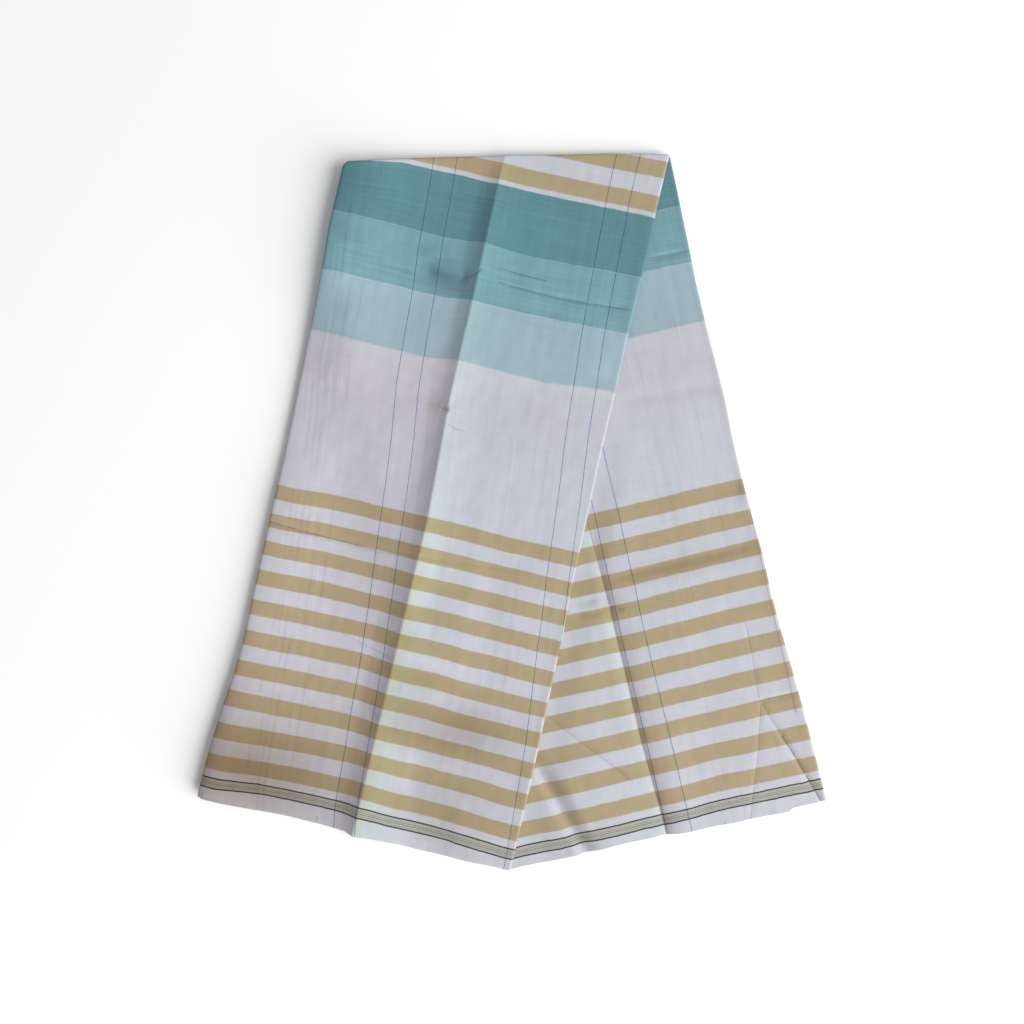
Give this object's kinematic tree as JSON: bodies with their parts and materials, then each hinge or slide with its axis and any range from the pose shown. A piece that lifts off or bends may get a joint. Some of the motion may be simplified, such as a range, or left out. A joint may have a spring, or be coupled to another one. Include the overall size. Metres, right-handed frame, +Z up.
{
  "type": "folded lungi",
  "caption": "Striped cotton lungi cloth folded in three along its length and laid flat, folded over at the top so its ends splay as two legs.",
  "frame": {"origin": "on the surface it lies on, under the middle of its outline", "axes": "+Z up off the surface, +Y towards the top fold, +X to the right seen from above, towards the back leg's end"},
  "size_m": [0.7864, 0.9006, 0.025],
  "materials": {
    "lungi_cloth": "plain-weave cotton, pale lilac-white ground with teal, pale blue and ochre cross bands and fine blue lengthwise lines"
  },
  "bodies": {
    "root": {"front_leg_top_layer": "lungi_cloth", "front_leg_hidden_layers": "lungi_cloth", "back_leg_top_layer": "lungi_cloth", "back_leg_hidden_layers": "lungi_cloth", "top_tuck": "lungi_cloth"}
  },
  "joints": []
}
